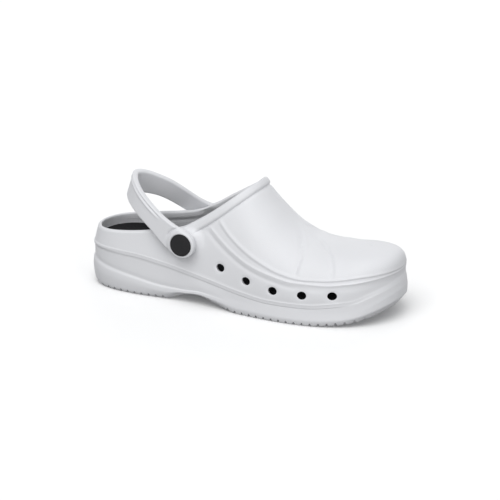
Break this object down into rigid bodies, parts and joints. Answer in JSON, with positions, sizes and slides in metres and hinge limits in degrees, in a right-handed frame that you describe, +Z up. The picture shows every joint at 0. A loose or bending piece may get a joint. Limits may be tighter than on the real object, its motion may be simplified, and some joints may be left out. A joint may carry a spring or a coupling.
{
  "type": "clog",
  "caption": "Moulded foam clog for the right foot: closed toe, side vent holes, ribbed sole, cloth-topped insole, and a heel strap that turns on black rivets.",
  "frame": {"origin": "on the floor, under the middle of the shoe's length and width", "axes": "+X to the toe, +Y to the inner side of the foot, +Z up"},
  "size_m": [0.29, 0.1055, 0.1078],
  "materials": {
    "white_foam": "semi-matt moulded foam",
    "strap_foam": "semi-matt, firm",
    "insole_cloth": "brushed cloth",
    "rivet_plastic": "satin"
  },
  "bodies": {
    "clog": {"clog_moulding": "white_foam", "insole": "insole_cloth", "rivet_lateral": "rivet_plastic", "rivet_medial": "rivet_plastic"},
    "strap": {"heel_strap": "strap_foam"}
  },
  "joints": [
    {"name": "strap_swivel", "type": "hinge", "parent": "clog", "child": "strap", "pos_m": [-0.039, -0.002, 0.0546], "axis": [0, 1, 0], "range_deg": [-4, 84]}
  ]
}
